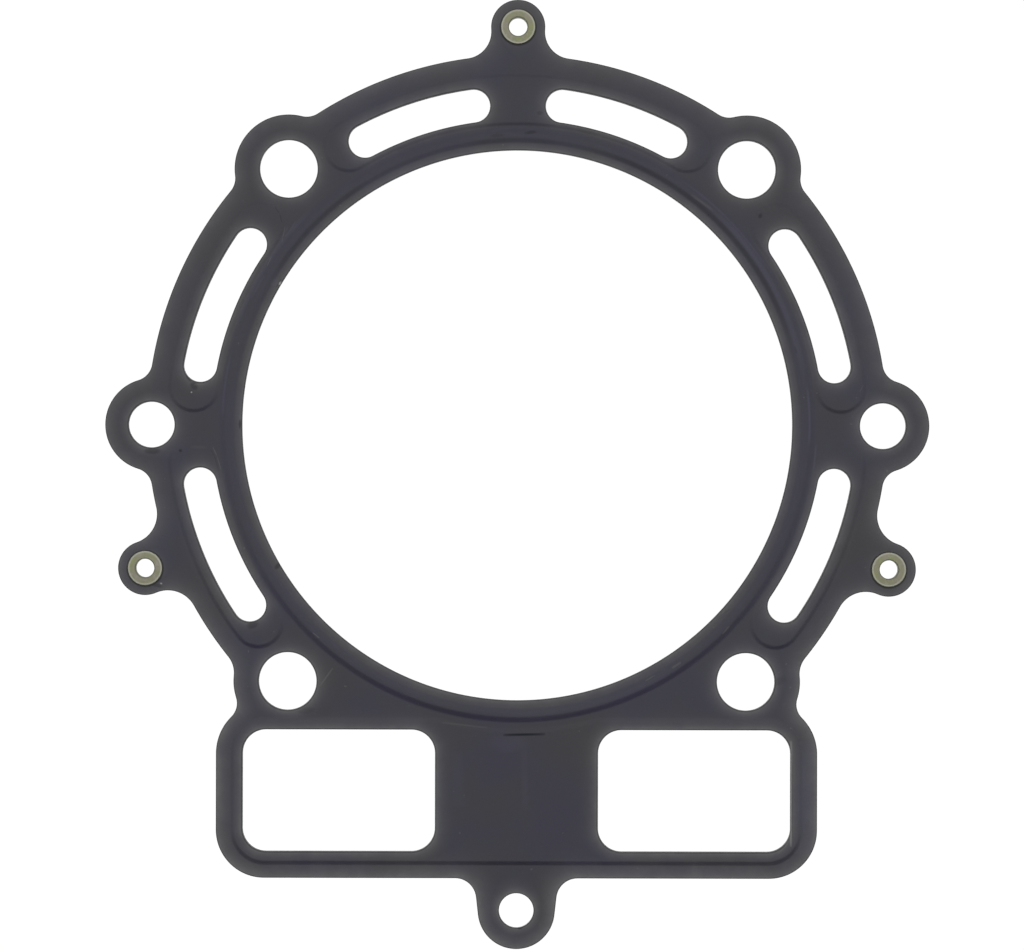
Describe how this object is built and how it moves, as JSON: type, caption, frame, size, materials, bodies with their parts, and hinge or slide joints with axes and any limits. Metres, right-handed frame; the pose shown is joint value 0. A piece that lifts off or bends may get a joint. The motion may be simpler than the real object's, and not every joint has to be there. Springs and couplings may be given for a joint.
{
  "type": "cylinder head gasket",
  "caption": "Three-layer steel head gasket for one cylinder, with bore bead, coolant slots, stud holes, two-window chain tunnel and three eyelets.",
  "frame": {"origin": "on the cylinder axis, in the flat underside of the lower sealing layer", "axes": "+Z along the cylinder axis towards the cylinder head; +Y away from the chain tunnel"},
  "size_m": [0.152, 0.1751, 0.0016],
  "materials": {
    "coated_steel": "satin",
    "carrier_steel": "satin",
    "eyelet_metal": "satin"
  },
  "bodies": {
    "root": {"upper_sealing_layer": "coated_steel", "carrier_layer": "carrier_steel", "lower_sealing_layer": "coated_steel", "eyelet_top": "eyelet_metal", "eyelet_left": "eyelet_metal", "eyelet_right": "eyelet_metal"}
  },
  "joints": []
}
